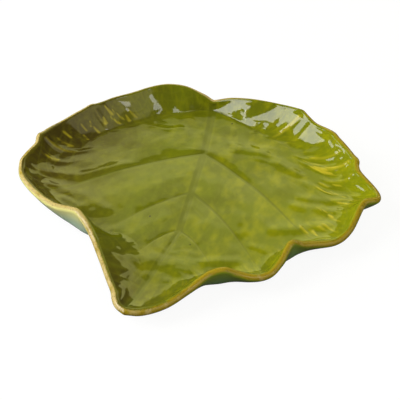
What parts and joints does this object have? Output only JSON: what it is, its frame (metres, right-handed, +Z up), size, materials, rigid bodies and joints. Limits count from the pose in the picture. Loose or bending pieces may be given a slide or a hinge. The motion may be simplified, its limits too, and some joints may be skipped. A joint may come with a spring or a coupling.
{
  "type": "trinket dish",
  "caption": "Shallow heart-shaped leaf dish with a ruffled upturned wall, pressed veins and a foot ring, in glazed earthenware, for keys, jewellery and other trinkets.",
  "frame": {"origin": "on the table plane under the middle of the dish's outline", "axes": "+Z up out of the dish, +X across the leaf to its right lobe, +Y from the leaf's tip to its stem notch"},
  "size_m": [0.203, 0.1856, 0.0245],
  "materials": {
    "body_clay": "biscuit-fired buff earthenware, matte",
    "foot_clay": "bare fired earthenware, wiped clean, matte",
    "green_glaze": "yellow-green glaze pooled darker in the veins, high gloss",
    "amber_glaze": "thin amber glaze broken over the lip, gloss",
    "blue_green_glaze": "blue-green glaze shading to yellow-green at the lip, gloss",
    "base_glaze": "blue-green glaze inside the foot ring, gloss"
  },
  "bodies": {
    "root": {"leaf_body": "body_clay", "foot_ring": "foot_clay", "inner_glaze": "green_glaze", "lip_glaze": "amber_glaze", "outer_glaze": "blue_green_glaze", "base_glaze": "base_glaze"}
  },
  "joints": []
}
